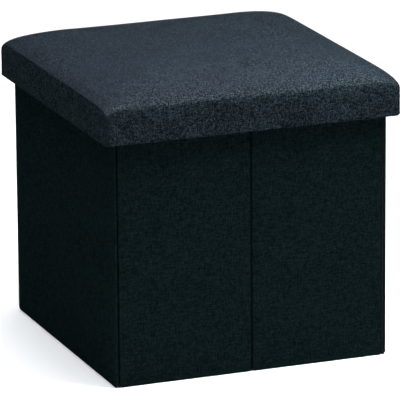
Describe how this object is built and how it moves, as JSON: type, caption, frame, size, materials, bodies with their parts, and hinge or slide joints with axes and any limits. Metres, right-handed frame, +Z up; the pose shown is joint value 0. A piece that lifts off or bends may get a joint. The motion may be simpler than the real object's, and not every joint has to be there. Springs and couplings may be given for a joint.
{
  "type": "folding storage ottoman",
  "caption": "Cube-shaped folding storage ottoman in dark linen-look cloth, with a padded lift-off lid, hinged wall boards and a hinged floor board.",
  "frame": {"origin": "on the floor, at the centre of the square footprint", "axes": "+Z up; -Y is the front, with the fold line down its middle; the flat side walls are at -X and +X"},
  "size_m": [0.38, 0.38, 0.371],
  "materials": {
    "linen_cover": "matt linen-look weave, near black",
    "lining": "thin bonded cloth, black",
    "web_cloth": "woven tape, black",
    "mdf": "raw medium-density fibreboard",
    "hardboard": "raw hardboard",
    "foam": "open-cell foam",
    "staple_wire": "galvanised wire"
  },
  "bodies": {
    "left_wall": {"left_wall_cover": "linen_cover", "left_wall_board": "mdf", "left_wall_lining": "lining", "corner_web_front_left": "web_cloth", "corner_web_back_left": "web_cloth", "base_hinge_web": "web_cloth"},
    "right_wall": {"right_wall_cover": "linen_cover", "right_wall_board": "mdf", "right_wall_lining": "lining", "corner_web_front_right": "web_cloth", "corner_web_back_right": "web_cloth"},
    "front_left": {"front_left_cover": "linen_cover", "front_left_board": "mdf", "front_left_lining": "lining", "centre_web_front": "web_cloth"},
    "front_right": {"front_right_cover": "linen_cover", "front_right_board": "mdf", "front_right_lining": "lining"},
    "back_left": {"back_left_cover": "linen_cover", "back_left_board": "mdf", "back_left_lining": "lining", "centre_web_back": "web_cloth"},
    "back_right": {"back_right_cover": "linen_cover", "back_right_board": "mdf", "back_right_lining": "lining"},
    "base": {"base_board": "hardboard", "base_sleeve": "lining", "base_pull_tab": "web_cloth"},
    "lid": {"lid_cover": "linen_cover", "lid_foam": "foam", "lid_board": "mdf", "lid_rim_front": "mdf", "lid_rim_back": "mdf", "lid_rim_left": "mdf", "lid_rim_right": "mdf", "lid_lining": "lining", "rim_staples": "staple_wire", "hem_staples": "staple_wire"}
  },
  "joints": [
    {"name": "lid_lift", "type": "slide", "parent": "left_wall", "child": "lid", "axis": [0, 0, 1], "range_m": [0, 0.3]},
    {"name": "fold", "type": "hinge", "parent": "left_wall", "child": "front_left", "pos_m": [-0.1713, -0.1718, 0], "axis": [0, 0, -1], "range_deg": [-90, 0], "deforming": ["corner_web_front_left"]},
    {"name": "front_middle_fold", "type": "hinge", "parent": "front_left", "child": "front_right", "pos_m": [0, -0.1763, 0], "axis": [0, 0, 1], "range_deg": [-180, 0], "deforming": ["centre_web_front"]},
    {"name": "front_right_fold", "type": "hinge", "parent": "front_right", "child": "right_wall", "pos_m": [0.1713, -0.1718, 0], "axis": [0, 0, -1], "range_deg": [-90, 0], "deforming": ["corner_web_front_right", "corner_web_back_right"]},
    {"name": "back_left_fold", "type": "hinge", "parent": "left_wall", "child": "back_left", "pos_m": [-0.1713, 0.1718, 0], "axis": [0, 0, 1], "range_deg": [-90, 0], "deforming": ["corner_web_back_left"]},
    {"name": "back_middle_fold", "type": "hinge", "parent": "back_left", "child": "back_right", "pos_m": [0, 0.1763, 0], "axis": [0, 0, -1], "range_deg": [-180, 0], "deforming": ["centre_web_back"]},
    {"name": "base_swing", "type": "hinge", "parent": "left_wall", "child": "base", "pos_m": [-0.1718, 0, 0], "axis": [0, -1, 0], "range_deg": [-90, 0], "deforming": ["base_hinge_web"]}
  ],
  "couplings": [
    {"joint": "front_middle_fold", "follows": "fold", "ratio": 2},
    {"joint": "front_right_fold", "follows": "fold", "ratio": 1},
    {"joint": "back_left_fold", "follows": "fold", "ratio": 1},
    {"joint": "back_middle_fold", "follows": "fold", "ratio": 2},
    {"joint": "base_swing", "follows": "fold", "ratio": 1}
  ]
}
